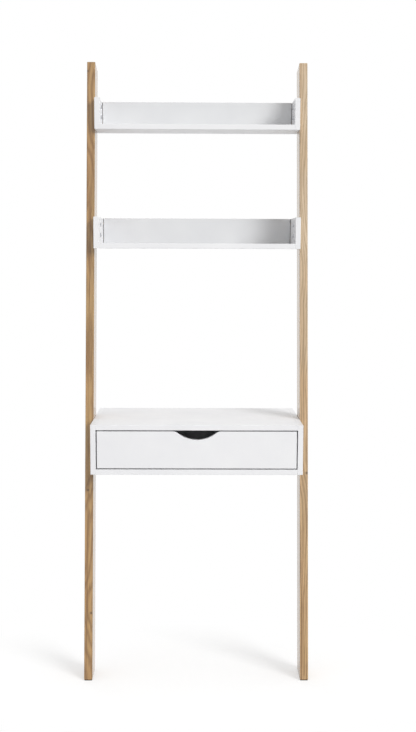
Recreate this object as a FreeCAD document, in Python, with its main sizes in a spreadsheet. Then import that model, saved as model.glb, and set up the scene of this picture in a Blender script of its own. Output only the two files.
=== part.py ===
import FreeCAD, Part
import math
import os
import re
import Sketcher

# Ladder desk that leans on a wall: two oak rails carry a desk box with one drawer and two shelf trays.
# Zero is on the floor, in the middle of the desk. +X is to the right, +Y to the wall, +Z up.

# Driving sizes, in millimetres and degrees
SIZES = {
    "overall_width": 650,
    "fit_clearance": 0.05,
    "wall_gap": 10,
    # Rails and their foot pads
    "rail_thickness": 24,
    "rail_depth": 94,
    "rail_length": 1809,
    "lean": 9.45,
    "rail_round": 1.5,
    "foot_thickness": 2,
    "foot_inset": 1,
    "foot_corner": 2,
    # Lacquered boards
    "board_thickness": 15,
    "board_round": 1,
    # Shelf trays
    "top_shelf_drop": 107.5,
    "top_shelf_depth": 136,
    "shelf_spacing": 346,
    "lower_shelf_depth": 206,
    "tray_end_height": 91,
    "upstand_gap": 1.5,
    # Desk box
    "desk_height": 748,
    "desk_box_height": 142,
    # Bolts and insert nuts between the units and the rails
    "bolt_set_back": 30,
    "bolt_diameter": 6,
    "bolt_head_diameter": 12,
    "bolt_head_thickness": 2.6,
    "bolt_head_crown": 0.8,
    "bolt_socket_width": 4,
    "bolt_socket_depth": 2,
    "bolt_play": 0.3,
    "nut_diameter": 9,
    "nut_skin": 7,
    "nut_end_room": 4,
    "tray_bolt_drop": 21,
    "tray_bolt_rise": 24,
    "desk_bolt_drop": 33,
    "desk_bolt_rise": 13,
    # Glued dowels
    "dowel_diameter": 8,
    "dowel_length": 30,
    "dowel_skin": 4.5,
    "dowel_end_room": 0.5,
    "dowel_chamfer": 1,
    "dowel_margin": 28,
    "desk_dowel_margin": 45,
    "upright_margin": 86,
    # Drawer
    "drawer_gap": 3,
    "drawer_lift": 15,
    "drawer_headroom": 22,
    "drawer_rear_room": 50,
    "drawer_hold": 54,
    "drawer_side_thickness": 12,
    "drawer_round": 1,
    "drawer_floor_thickness": 4,
    "groove_depth": 6,
    "groove_clearance": 0.1,
    "groove_web": 1.6,
    "front_round": 1.4,
    "scoop_width": 137,
    "scoop_depth": 24.5,
    "scoop_blend": 22,
    "drawer_dowel_diameter": 6,
    "drawer_dowel_length": 25,
    "drawer_dowel_rise": 9,
    "drawer_dowel_drop": 14,
    # Roller runners
    "runner_sheet": 1.2,
    "runner_bend": 0.6,
    "runner_set_back": 2,
    "runner_tail": 3.5,
    "runner_flange_gap": 1.5,
    "runner_ride_clear": 2,
    "runner_wrap_short": 1.5,
    "runner_ride_gap": 0.5,
    "runner_screw_margin": 55,
    "front_roller_lift": 0.6,
    "rear_roller_diameter": 18,
    "roller_width": 5.5,
    "roller_chamfer": 0.6,
    "roller_end": 12,
    "roll_gap": 0.3,
    "stop_height": 3,
    "pin_diameter": 5,
    "pin_tail_diameter": 4,
    "pin_shoulder_diameter": 8,
    "pin_shoulder_length": 1.8,
    "pin_head_thickness": 0.8,
    "pin_clearance": 0.4,
    # Screws
    "screw_diameter": 3.5,
    "screw_skin": 3.7,
    "screw_head_diameter": 7,
    "screw_head_thickness": 1,
    "screw_point": 2,
    "drawer_screw_grip": 22,
    "drawer_screw_rise": 9,
    "drawer_screw_drop": 14,
    # Wall brackets under the desk
    "bracket_sheet": 2,
    "bracket_bend": 1,
    "bracket_width": 22,
    "bracket_drop": 32,
    "bracket_lap": 38,
    "bracket_corner": 4,
    "bracket_margin": 86,
    "bracket_hole_diameter": 5.5,
    "bracket_hole_drop": 19,
    "bracket_screw_margin": 9,
    "bracket_screw_spacing": 18,
}

# Sizes that follow from the driving ones
DERIVED = {
    # The whole desk
    "overall_depth": "rail_length * sin(lean) + rail_depth * cos(lean)",
    "front_y": "-overall_depth / 2",
    "wall_y": "overall_depth / 2",
    "back_y": "wall_y - wall_gap",
    "foot_depth": "rail_depth / cos(lean)",
    "rail_top": "foot_thickness + rail_length * cos(lean)",
    "unit_half": "overall_width / 2 - rail_thickness",
    "board_half": "unit_half - board_thickness",
    # Shelf trays and desk box
    "top_shelf_base": "rail_top - top_shelf_drop - tray_end_height",
    "lower_shelf_base": "top_shelf_base - shelf_spacing",
    "upstand_half": "board_half - upstand_gap",
    "upright_half": "board_half - upright_margin",
    "desk_base": "desk_height - desk_box_height",
    "desk_floor": "desk_base + board_thickness",
    "desk_ceiling": "desk_height - board_thickness",
    # Holes and fasteners
    "nut_hole": "nut_diameter + 2 * fit_clearance",
    "nut_hole_depth": "rail_thickness - nut_skin",
    "nut_length": "nut_hole_depth - nut_end_room",
    "bolt_hole": "bolt_diameter + 2 * bolt_play",
    "bolt_length": "board_thickness + nut_length",
    "dowel_hole": "dowel_diameter + 2 * fit_clearance",
    "dowel_hole_face": "board_thickness - dowel_skin",
    "dowel_sunk": "dowel_hole_face - dowel_end_room",
    "dowel_hole_edge": "dowel_length - dowel_sunk + dowel_end_room",
    "drawer_dowel_hole": "drawer_dowel_diameter + 2 * fit_clearance",
    "drawer_dowel_hole_edge": "drawer_dowel_length - dowel_sunk + dowel_end_room",
    "screw_hole": "screw_diameter + 2 * fit_clearance",
    "screw_hole_depth": "board_thickness - screw_skin",
    "screw_length": "screw_hole_depth - dowel_end_room + runner_sheet",
    "drawer_screw_length": "drawer_side_thickness + drawer_screw_grip",
    # Drawer
    "drawer_front_half": "board_half - drawer_gap",
    "drawer_front_base": "desk_floor + drawer_gap",
    "drawer_front_top": "desk_ceiling - drawer_gap",
    "scoop_radius": "((scoop_width / 2)^2 + scoop_depth^2) / (2 * scoop_depth) - scoop_blend",
    "drawer_half": "board_half - runner_space",
    "drawer_inner_half": "drawer_half - drawer_side_thickness",
    "drawer_base": "desk_floor + drawer_lift",
    "drawer_top": "desk_ceiling - drawer_headroom",
    "drawer_front_back_y": "front_y + board_thickness",
    "drawer_rear_y": "back_y - board_thickness - drawer_rear_room",
    "drawer_back_y": "drawer_rear_y - drawer_side_thickness",
    "drawer_floor_half": "drawer_inner_half + groove_depth - groove_clearance",
    "drawer_floor_base": "groove_base + groove_clearance",
    "groove_base": "drawer_base + screw_hole_depth + groove_web",
    "groove_top": "drawer_floor_base + drawer_floor_thickness + groove_clearance",
    # Roller runners
    "runner_space": "runner_sheet + screw_head_thickness + pin_clearance + pin_reach",
    "runner_flange": "runner_space - runner_sheet - runner_flange_gap",
    "runner_front_y": "drawer_front_back_y + runner_set_back",
    "runner_rear_y": "closed_stop_y + runner_sheet + runner_tail",
    "channel_height": "rear_roller_diameter + 2 * roll_gap",
    "channel_top": "drawer_base + channel_height",
    "ride_top": "channel_top - runner_ride_gap",
    "ride_base": "ride_top - runner_sheet",
    "ride_tip": "runner_sheet + runner_ride_clear",
    "front_roller_diameter": "ride_base - roll_gap - drawer_base - front_roller_lift",
    "front_roller_y": "runner_front_y + roller_end",
    "front_roller_z": "ride_base - roll_gap - front_roller_diameter / 2",
    "rear_roller_y": "drawer_rear_y - roller_end",
    "rear_roller_z": "drawer_base + roll_gap + rear_roller_diameter / 2",
    "roller_space": "roller_width + 2 * roll_gap",
    "roller_bore": "pin_diameter + 2 * fit_clearance",
    "pin_hole": "pin_tail_diameter + 2 * fit_clearance",
    "pin_seat": "runner_sheet + pin_shoulder_length",
    "pin_reach": "pin_seat + roller_space + pin_head_thickness",
    "rear_radius": "rear_roller_diameter / 2",
    "stop_meets": "sqrt(rear_radius^2 - (rear_radius + roll_gap - stop_height)^2)",
    "open_stop_y": "front_roller_y + drawer_hold - stop_meets - roll_gap",
    "closed_stop_y": "rear_roller_y + rear_radius + roll_gap",
    # Wall brackets
    "bracket_half": "board_half - bracket_margin",
    "bracket_front_y": "back_y - bracket_lap",
}

LEFT = "left"
RIGHT = "right"
FRONT = "front"
BACK = "back"
DOWN = "down"
UP = "up"
HEADINGS = {
    LEFT: (-1, 0, 0),
    RIGHT: (1, 0, 0),
    BACK: (0, 1, 0),
    DOWN: (0, 0, -1),
    UP: (0, 0, 1),
}

# The two sides of the desk, and the ways that point out of it and into it on each
SIDES = (LEFT, RIGHT)
OUT = {LEFT: LEFT, RIGHT: RIGHT}
IN = {LEFT: RIGHT, RIGHT: LEFT}

# Edges and points closer than this are taken as touching
TOUCH = 1e-6

# Each origin plane: its two axes, the axis of its normal and the way that the normal points
PLANES = {
    "XY": ("X", "Y", "Z", UP),
    "XZ": ("X", "Z", "Y", FRONT),
    "YZ": ("Y", "Z", "X", RIGHT),
}

doc = FreeCAD.newDocument("LadderDesk")
sheet = doc.addObject("Spreadsheet::Sheet", "Sizes")
for row, (name, number) in enumerate(SIZES.items(), start=1):
    sheet.set(f"A{row}", name)
    sheet.set(f"B{row}", str(number))
    sheet.setAlias(f"B{row}", name)
doc.recompute()

sub_parts = []


def formula(text):
    """A formula in the names above, as a formula in the sheet's cells."""

    def cell(match):
        word = match[0]
        if word in DERIVED:
            return f"({formula(DERIVED[word])})"
        return f"Sizes.{word}" if word in SIZES else word

    return re.sub(r"[a-z]\w*", cell, text)


def bind(target, path, text):
    """Tie one property of an object to the sheet."""
    target.setExpression(path, formula(text))


def place(target, spot):
    """Tie an object's position to the sheet."""
    for axis, text in zip("xyz", spot):
        bind(target, f"Placement.Base.{axis}", text)


def rectangle(low, high):
    """The four corners of a rectangle between two opposite corners."""
    return [low, (high[0], low[1]), high, (low[0], high[1])]


def mirrored(side, distance):
    """X at a distance from the middle, on the left or on the right."""
    return f"-({distance})" if side == LEFT else f"({distance})"


def span(side, inner, outer):
    """Lowest and highest X between two distances from the middle, on one side."""
    near = mirrored(side, inner)
    far = mirrored(side, outer)
    return (far, near) if side == LEFT else (near, far)


def along(axis):
    """A test for edges that run along an axis."""

    def test(edge, box):
        others = [name for name in "XYZ" if name != axis]
        return all(getattr(edge.BoundBox, f"{name}Length") < TOUCH for name in others)

    return test


def lowest(axis):
    """A test for edges that lie on the lowest face across an axis."""
    low = f"{axis}Min"
    high = f"{axis}Max"
    return lambda edge, box: getattr(edge.BoundBox, high) - getattr(box, low) < TOUCH


def highest(axis):
    """A test for edges that lie on the highest face across an axis."""
    low = f"{axis}Min"
    high = f"{axis}Max"
    return lambda edge, box: getattr(box, high) - getattr(edge.BoundBox, low) < TOUCH


def every(edge, box):
    """A test that takes all edges."""
    return True


class Piece:
    """One body, drawn with formulas in the desk's own coordinates and placed at its corner."""

    def __init__(self, label, corner, sub_part=True):
        self.corner = corner
        self.body = doc.addObject("PartDesign::Body", label)
        self.body.Label = label
        place(self.body, corner)
        if sub_part:
            sub_parts.append(self.body)

    def local(self, axis, text):
        start = self.corner["XYZ".index(axis)]
        return f"({text}) - ({start})"

    def sketch(self, plane, level):
        normal, way = PLANES[plane][2:]
        sketch = self.body.newObject("Sketcher::SketchObject", "Sketch")
        features = self.body.Origin.OriginFeatures
        support = next(item for item in features if item.Role == f"{plane}_Plane")
        sketch.AttachmentSupport = [(support, "")]
        sketch.MapMode = "FlatFace"
        offset = self.local(normal, level)
        bind(sketch, "AttachmentOffset.Base.z", f"-({offset})" if way == FRONT else offset)
        return sketch

    def fix(self, sketch, plane, geometry, point, rough, spot):
        """Dimension a point of the sketch from the sketch's zero."""
        axes = PLANES[plane][:2]
        for kind, start, axis, text in zip(("DistanceX", "DistanceY"), rough, axes, spot):
            number = sketch.addConstraint(Sketcher.Constraint(kind, -1, 1, geometry, point, start))
            bind(sketch, f"Constraints[{number}]", self.local(axis, text))

    def polygon(self, plane, level, points):
        """A closed outline, started as a regular polygon and drawn to its points by its dimensions."""
        sketch = self.sketch(plane, level)
        count = len(points)
        turns = [2 * math.pi * step / count for step in range(count)]
        rough = [FreeCAD.Vector(math.cos(turn), math.sin(turn), 0) for turn in turns]
        for step, start in enumerate(rough):
            sketch.addGeometry(Part.LineSegment(start, rough[(step + 1) % count]))
        for step in range(count):
            sketch.addConstraint(Sketcher.Constraint("Coincident", step, 2, (step + 1) % count, 1))
        for step, spot in enumerate(points):
            self.fix(sketch, plane, step, 1, rough[step], spot)
        return sketch

    def circles(self, plane, level, diameter, centres):
        """Equal circles, started side by side and drawn to their centres by their dimensions."""
        sketch = self.sketch(plane, level)
        radius = 1
        for step, spot in enumerate(centres, start=1):
            rough = FreeCAD.Vector(3 * radius * step, radius, 0)
            circle = sketch.addGeometry(Part.Circle(rough, FreeCAD.Vector(0, 0, 1), radius))
            number = sketch.addConstraint(Sketcher.Constraint("Diameter", circle, 2 * radius))
            bind(sketch, f"Constraints[{number}]", diameter)
            self.fix(sketch, plane, circle, 3, rough, spot)
        return sketch

    def extrude(self, kind, sketch, plane, towards, length):
        feature = self.body.newObject(f"PartDesign::{kind}", kind)
        feature.Profile = sketch
        with_normal = towards == PLANES[plane][3]
        feature.Reversed = with_normal if kind == "Pocket" else not with_normal
        bind(feature, "Length", length)

    def block(self, plane, level, towards, length, points):
        """Material: an outline drawn at a level and extruded one way."""
        sketch = self.polygon(plane, level, points)
        self.extrude("Pad", sketch, plane, towards, length)
        return sketch

    def slot(self, plane, level, towards, depth, points):
        """A cut: an outline drawn at a level and sunk one way."""
        self.extrude("Pocket", self.polygon(plane, level, points), plane, towards, depth)

    def holes(self, plane, level, towards, depth, diameter, centres):
        """Drilled holes of one size, sunk one way from a level."""
        self.extrude("Pocket", self.circles(plane, level, diameter, centres), plane, towards, depth)

    def turned(self, points):
        """A turned piece: a half outline of lengths and radii, spun about the X axis."""
        sketch = self.polygon("XZ", "0", points)
        feature = self.body.newObject("PartDesign::Revolution", "Revolution")
        feature.Profile = sketch
        feature.ReferenceAxis = (sketch, ["H_Axis"])
        feature.Angle = 360

    def rounded(self, radius, *tests):
        """Round the edges that pass all the tests."""
        doc.recompute()
        base = self.body.Tip
        names = []
        for number, edge in enumerate(base.Shape.Edges, start=1):
            if all(test(edge, base.Shape.BoundBox) for test in tests):
                names.append(f"Edge{number}")
        feature = self.body.newObject("PartDesign::Fillet", "Fillet")
        feature.Base = (base, names)
        bind(feature, "Radius", radius)

    def bent(self, radius, sketch, axis, corners):
        """Round the long edges of a bent sheet at numbered corners of its section."""
        doc.recompute()
        spots = [sketch.Placement.multVec(sketch.Geometry[corner].StartPoint) for corner in corners]

        def at_corner(edge, box):
            return any(edge.distToShape(Part.Vertex(spot))[0] < TOUCH for spot in spots)

        self.rounded(radius, along(axis), at_corner)


def board(label, low, high):
    """A flat board between two opposite corners."""
    piece = Piece(label, low)
    piece.block("XY", low[2], UP, f"({high[2]}) - ({low[2]})", rectangle(low[:2], high[:2]))
    return piece


def copies(label, master, spots):
    """One sub-part of equal pieces: each spot has the way that the master points and its position."""
    links = []
    for heading, spot in spots:
        link = doc.addObject("App::Link", f"{label}_copy")
        link.LinkedObject = master.body
        start = FreeCAD.Vector(*HEADINGS[RIGHT])
        turn = FreeCAD.Rotation(start, FreeCAD.Vector(*HEADINGS[heading]))
        link.Placement = FreeCAD.Placement(FreeCAD.Vector(), turn)
        place(link, spot)
        links.append(link)
    group = doc.addObject("Part::Compound", label)
    group.Label = label
    group.Links = links
    sub_parts.append(group)


def bolt_line(height):
    """Y of the bolts' line, set back from a rail's front face, at a height."""
    return f"front_y + (({height}) - foot_thickness) * tan(lean) + bolt_set_back / cos(lean)"


def bolt_pair(lower, upper):
    """Two bolt centres, one above the other, on the bolts' line."""
    return [(bolt_line(height), height) for height in (lower, upper)]


def tray_bolts(base):
    lower = f"{base} + board_thickness + tray_bolt_rise"
    return bolt_pair(lower, f"{base} + tray_end_height - tray_bolt_drop")


DESK_BOLTS = bolt_pair(
    "channel_top + runner_sheet + desk_bolt_rise",
    "desk_height - desk_bolt_drop",
)
TRAYS = {
    "top_shelf": ("top_shelf_base", "top_shelf_depth"),
    "lower_shelf": ("lower_shelf_base", "lower_shelf_depth"),
}
RAIL_BOLTS = DESK_BOLTS + [spot for base, depth in TRAYS.values() for spot in tray_bolts(base)]


# Rails: flat oak boards that lean to the wall, cut level at the floor and square at the top
def rail(label, side):
    low = span(side, "unit_half", "overall_width / 2")[0]
    piece = Piece(label, (low, "front_y", "foot_thickness"))
    outline = [
        ("front_y", "foot_thickness"),
        ("front_y + rail_length * sin(lean)", "rail_top"),
        ("wall_y", "rail_top - rail_depth * sin(lean)"),
        ("front_y + foot_depth", "foot_thickness"),
    ]
    piece.block("YZ", low, RIGHT, "rail_thickness", outline)
    piece.rounded("rail_round", every)
    piece.holes("YZ", mirrored(side, "unit_half"), side, "nut_hole_depth", "nut_hole", RAIL_BOLTS)


def foot_pad(label, side):
    low, high = span(side, "unit_half + foot_inset", "overall_width / 2 - foot_inset")
    rear = "front_y + foot_depth - foot_inset"
    pad = board(label, (low, "front_y + foot_inset", "0"), (high, rear, "foot_thickness"))
    pad.rounded("foot_corner", along("Z"))


for side in SIDES:
    rail(f"{side}_rail", side)
    foot_pad(f"{side}_foot_pad", side)


# Shelf trays: a board and an upstand between two end boards, all dowelled and glued.
# Three dowels stand in the shelf board and hold the upstand, which leaves a thin gap at its ends.
BACK_MIDDLE = "back_y - board_thickness / 2"
UPRIGHT_SPOTS = [(x, BACK_MIDDLE) for x in ("-upright_half", "0", "upright_half")]


def tray_joint_spots(base, depth):
    """Y and Z of the dowels in an end board: two into the shelf board and two into the upstand."""
    board_z = f"{base} + board_thickness / 2"
    low = f"{base} + 2 * board_thickness"
    high = f"{base} + tray_end_height - board_thickness"
    shelf = [(f"back_y - {depth} + dowel_margin", board_z), ("back_y - dowel_margin", board_z)]
    upstand = [(BACK_MIDDLE, low), (BACK_MIDDLE, high)]
    return shelf, upstand


def tray(label, base, depth):
    front = f"back_y - {depth}"
    top = f"{base} + tray_end_height"
    deck = f"{base} + board_thickness"
    shelf_spots, upstand_spots = tray_joint_spots(base, depth)

    for side in SIDES:
        low, high = span(side, "board_half", "unit_half")
        end = board(f"{label}_{side}_end", (low, front, base), (high, "back_y", top))
        end.rounded("board_round", every)
        inner = mirrored(side, "board_half")
        end.holes("YZ", inner, side, "dowel_hole_face", "dowel_hole", shelf_spots + upstand_spots)
        end.holes("YZ", inner, side, "board_thickness", "bolt_hole", tray_bolts(base))

    shelf = board(f"{label}_board", ("-board_half", front, base), ("board_half", "back_y", deck))
    shelf.rounded("board_round", along("X"))
    shelf.holes("XY", deck, DOWN, "dowel_hole_face", "dowel_hole", UPRIGHT_SPOTS)
    upstand_low = ("-upstand_half", "back_y - board_thickness", deck)
    upstand = board(f"{label}_back", upstand_low, ("upstand_half", "back_y", top))
    upstand.rounded("board_round", along("X"), highest("Z"))
    upstand.holes("XY", deck, UP, "dowel_hole_edge", "dowel_hole", UPRIGHT_SPOTS)
    for side in SIDES:
        end_face = mirrored(side, "board_half")
        shelf.holes("YZ", end_face, IN[side], "dowel_hole_edge", "dowel_hole", shelf_spots)
        upstand.holes("YZ", end_face, IN[side], "dowel_hole_edge", "dowel_hole", upstand_spots)


for label, (base, depth) in TRAYS.items():
    tray(label, base, depth)

# Desk box: top and bottom boards and a back between two sides, open at the front for the drawer
DESK_DOWEL_YS = [
    "front_y + desk_dowel_margin",
    "(front_y + back_y) / 2",
    "back_y - desk_dowel_margin",
]
DESK_TOP_SPOTS = [(y, "desk_ceiling + board_thickness / 2") for y in DESK_DOWEL_YS]
DESK_BOTTOM_SPOTS = [(y, "desk_base + board_thickness / 2") for y in DESK_DOWEL_YS]
DESK_BACK_SPOTS = [
    (BACK_MIDDLE, "desk_floor + dowel_margin"),
    (BACK_MIDDLE, "desk_ceiling - dowel_margin"),
]
DESK_JOINTS = DESK_TOP_SPOTS + DESK_BOTTOM_SPOTS + DESK_BACK_SPOTS
RUNNER_SCREW_YS = [
    "runner_front_y + runner_screw_margin",
    "(runner_front_y + runner_rear_y) / 2",
    "runner_rear_y - runner_screw_margin",
]
CHANNEL_SCREWS = [(y, "drawer_base + channel_height / 2") for y in RUNNER_SCREW_YS]
BRACKET_SCREW_YS = [
    "back_y - bracket_screw_margin",
    "back_y - bracket_screw_margin - bracket_screw_spacing",
]


def bracket_x(side):
    return mirrored(side, "bracket_half")


for side in SIDES:
    low, high = span(side, "board_half", "unit_half")
    panel = board(f"desk_{side}_side", (low, "front_y", "desk_base"), (high, "back_y", "desk_height"))
    panel.rounded("board_round", every)
    inner = mirrored(side, "board_half")
    panel.holes("YZ", inner, side, "dowel_hole_face", "dowel_hole", DESK_JOINTS)
    panel.holes("YZ", inner, side, "board_thickness", "bolt_hole", DESK_BOLTS)
    panel.holes("YZ", inner, side, "screw_hole_depth", "screw_hole", CHANNEL_SCREWS)

desk_top = board(
    "desk_top",
    ("-board_half", "front_y", "desk_ceiling"),
    ("board_half", "back_y", "desk_height"),
)
desk_bottom = board(
    "desk_bottom",
    ("-board_half", "front_y", "desk_base"),
    ("board_half", "back_y", "desk_floor"),
)
desk_back = board(
    "desk_back",
    ("-board_half", "back_y - board_thickness", "desk_floor"),
    ("board_half", "back_y", "desk_ceiling"),
)
desk_top.rounded("board_round", along("X"))
desk_bottom.rounded("board_round", along("X"))
for side in SIDES:
    end_face = mirrored(side, "board_half")
    desk_top.holes("YZ", end_face, IN[side], "dowel_hole_edge", "dowel_hole", DESK_TOP_SPOTS)
    desk_bottom.holes("YZ", end_face, IN[side], "dowel_hole_edge", "dowel_hole", DESK_BOTTOM_SPOTS)
    desk_back.holes("YZ", end_face, IN[side], "dowel_hole_edge", "dowel_hole", DESK_BACK_SPOTS)
BRACKET_SCREWS = [(bracket_x(side), y) for side in SIDES for y in BRACKET_SCREW_YS]
bracket_depth = "screw_length - bracket_sheet + dowel_end_room"
desk_bottom.holes("XY", "desk_base", UP, bracket_depth, "screw_hole", BRACKET_SCREWS)

# Drawer: a front with a finger scoop, two grooved sides, a back and a thin floor
DRAWER_DOWEL_ZS = ["groove_top + drawer_dowel_rise", "drawer_top - drawer_dowel_drop"]
DRAWER_SCREW_ZS = ["groove_top + drawer_screw_rise", "drawer_top - drawer_screw_drop"]
DRAWER_BACK_SCREWS = [("drawer_rear_y - drawer_side_thickness / 2", z) for z in DRAWER_SCREW_ZS]


def side_middle(side):
    return mirrored(side, "drawer_half - drawer_side_thickness / 2")


front = board(
    "drawer_front",
    ("-drawer_front_half", "front_y", "drawer_front_base"),
    ("drawer_front_half", "drawer_front_back_y", "drawer_front_top"),
)
scoop_centre = ("0", "drawer_front_top - scoop_depth + scoop_radius")
front.holes("XZ", "front_y", BACK, "board_thickness", "2 * scoop_radius", [scoop_centre])


def inside_ends(edge, box):
    """Edges away from the two ends of the drawer front."""
    return edge.BoundBox.XMin > box.XMin + TOUCH and edge.BoundBox.XMax < box.XMax - TOUCH


front.rounded("scoop_blend", along("Y"), highest("Z"), inside_ends)
front.rounded("front_round", lowest("Y"))
groove_low = ("-(drawer_inner_half + groove_depth)", "groove_base")
groove_high = ("drawer_inner_half + groove_depth", "groove_top")
front.slot("XZ", "drawer_front_back_y", FRONT, "groove_depth", rectangle(groove_low, groove_high))
front_dowels = [(side_middle(side), z) for side in SIDES for z in DRAWER_DOWEL_ZS]
front.holes("XZ", "drawer_front_back_y", FRONT, "dowel_hole_face", "drawer_dowel_hole", front_dowels)

for side in SIDES:
    low, high = span(side, "drawer_inner_half", "drawer_half")
    side_low = (low, "drawer_front_back_y", "drawer_base")
    panel = board(f"drawer_{side}_side", side_low, (high, "drawer_rear_y", "drawer_top"))
    panel.rounded("drawer_round", along("Y"))
    inner = mirrored(side, "drawer_inner_half")
    groove = rectangle(("drawer_front_back_y", "groove_base"), ("drawer_rear_y", "groove_top"))
    panel.slot("YZ", inner, side, "groove_depth", groove)
    dowels = [(side_middle(side), z) for z in DRAWER_DOWEL_ZS]
    panel.holes("XZ", "drawer_front_back_y", BACK, "drawer_dowel_hole_edge", "drawer_dowel_hole", dowels)
    panel.holes("YZ", inner, side, "drawer_side_thickness", "screw_hole", DRAWER_BACK_SCREWS)
    screws = [(side_middle(side), y) for y in RUNNER_SCREW_YS]
    panel.holes("XY", "drawer_base", UP, "screw_hole_depth", "screw_hole", screws)

drawer_back = board(
    "drawer_back",
    ("-drawer_inner_half", "drawer_back_y", "drawer_base"),
    ("drawer_inner_half", "drawer_rear_y", "drawer_top"),
)
drawer_back.rounded("drawer_round", along("X"), highest("Z"))
back_groove = rectangle(("-drawer_inner_half", "groove_base"), ("drawer_inner_half", "groove_top"))
drawer_back.slot("XZ", "drawer_back_y", BACK, "groove_depth", back_groove)
for side in SIDES:
    end_face = mirrored(side, "drawer_inner_half")
    grip = "drawer_screw_grip + dowel_end_room"
    drawer_back.holes("YZ", end_face, IN[side], grip, "screw_hole", DRAWER_BACK_SCREWS)
board(
    "drawer_floor",
    ("-drawer_floor_half", "drawer_front_back_y - groove_depth + groove_clearance", "drawer_floor_base"),
    (
        "drawer_floor_half",
        "drawer_back_y + groove_depth - groove_clearance",
        "drawer_floor_base + drawer_floor_thickness",
    ),
)


# Roller runners. The channel is screwed to the desk side and carries the front roller.
# The drawer's runner wraps under the drawer side and rides over that roller.
# It carries the rear roller inside the channel, between the two stops.
def gap_x(side, inset):
    """X at a distance in from the desk side's inner face, in the runner's gap."""
    return mirrored(side, f"board_half - ({inset})")


def channel(label, side):
    low = span(side, "board_half - runner_flange", "board_half")[0]
    piece = Piece(label, (low, "runner_front_y", "drawer_base - runner_sheet"))
    section = [
        ("0", "drawer_base - runner_sheet"),
        ("runner_flange", "drawer_base - runner_sheet"),
        ("runner_flange", "drawer_base"),
        ("runner_sheet", "drawer_base"),
        ("runner_sheet", "channel_top"),
        ("runner_flange", "channel_top"),
        ("runner_flange", "channel_top + runner_sheet"),
        ("0", "channel_top + runner_sheet"),
    ]
    outline = [(gap_x(side, inset), z) for inset, z in section]
    sketch = piece.block("XZ", "runner_front_y", BACK, "runner_rear_y - (runner_front_y)", outline)
    piece.bent("runner_bend", sketch, "Y", (3, 4))
    piece.bent("runner_bend + runner_sheet", sketch, "Y", (0, 7))
    tongue_x = span(side, "board_half - runner_flange", "board_half - 2 * runner_sheet")
    open_stop = rectangle((tongue_x[0], "open_stop_y - runner_sheet"), (tongue_x[1], "open_stop_y"))
    root = "drawer_base - runner_sheet / 2"
    piece.block("XY", root, UP, "stop_height + runner_sheet / 2", open_stop)
    tab_x = span(side, "board_half - runner_flange", "board_half - runner_sheet / 2")
    closed_stop = rectangle((tab_x[0], "closed_stop_y"), (tab_x[1], "closed_stop_y + runner_sheet"))
    piece.block("XY", root, UP, "(channel_height + runner_sheet) / 2", closed_stop)
    web = gap_x(side, "0")
    pin_spot = [("front_roller_y", "front_roller_z")]
    piece.holes("YZ", web, IN[side], "2 * runner_sheet", "screw_hole", CHANNEL_SCREWS)
    piece.holes("YZ", web, IN[side], "2 * runner_sheet", "pin_hole", pin_spot)


def drawer_runner(label, side):
    start = "drawer_front_back_y"
    wrap = "runner_space + drawer_side_thickness - runner_wrap_short"
    low = span(side, f"board_half - ({wrap})", "board_half - ride_tip")[0]
    piece = Piece(label, (low, start, "drawer_base - runner_sheet"))
    section = [
        ("ride_tip", "ride_base"),
        ("runner_space - runner_sheet", "ride_base"),
        ("runner_space - runner_sheet", "drawer_base - runner_sheet"),
        (wrap, "drawer_base - runner_sheet"),
        (wrap, "drawer_base"),
        ("runner_space", "drawer_base"),
        ("runner_space", "ride_top"),
        ("ride_tip", "ride_top"),
    ]
    outline = [(gap_x(side, inset), z) for inset, z in section]
    sketch = piece.block("XZ", start, BACK, f"drawer_rear_y - ({start})", outline)
    piece.bent("runner_bend", sketch, "Y", (1, 5))
    piece.bent("runner_bend + runner_sheet", sketch, "Y", (2, 6))
    cut_end = "board_half - ride_tip + runner_sheet"
    cut_x = span(side, "board_half - runner_space + runner_sheet", cut_end)
    cut_start = "rear_roller_y - rear_radius - runner_sheet"
    cut = rectangle((cut_x[0], cut_start), (cut_x[1], "drawer_rear_y"))
    piece.slot("XY", "ride_top", DOWN, "2 * runner_sheet", cut)
    screws = [(side_middle(side), y) for y in RUNNER_SCREW_YS]
    piece.holes("XY", "drawer_base - runner_sheet", UP, "2 * runner_sheet", "screw_hole", screws)
    web = gap_x(side, "runner_space")
    pin_spot = [("rear_roller_y", "rear_roller_z")]
    piece.holes("YZ", web, side, "2 * runner_sheet", "pin_hole", pin_spot)


def roller(label, side, diameter, inset, spot):
    """A nylon wheel with eased rims, spun about the X axis."""
    piece = Piece(label, ("0", "0", "0"))
    bore = "roller_bore / 2"
    rim = f"{diameter} / 2"
    piece.turned([
        ("0", bore),
        ("0", f"{rim} - roller_chamfer"),
        ("roller_chamfer", rim),
        ("roller_width - roller_chamfer", rim),
        ("roller_width", f"{rim} - roller_chamfer"),
        ("roller_width", bore),
    ])
    low = span(side, f"board_half - ({inset}) - roller_width", f"board_half - ({inset})")[0]
    place(piece.body, (low, *spot))


FRONT_SPOT = ("front_roller_y", "front_roller_z")
REAR_SPOT = ("rear_roller_y", "rear_roller_z")
for side in SIDES:
    channel(f"{side}_channel", side)
    drawer_runner(f"{side}_drawer_runner", side)
    front_inset = "pin_seat + roll_gap"
    rear_inset = "runner_space - pin_seat - roll_gap - roller_width"
    roller(f"{side}_front_roller", side, "front_roller_diameter", front_inset, FRONT_SPOT)
    roller(f"{side}_rear_roller", side, "rear_roller_diameter", rear_inset, REAR_SPOT)


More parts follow.
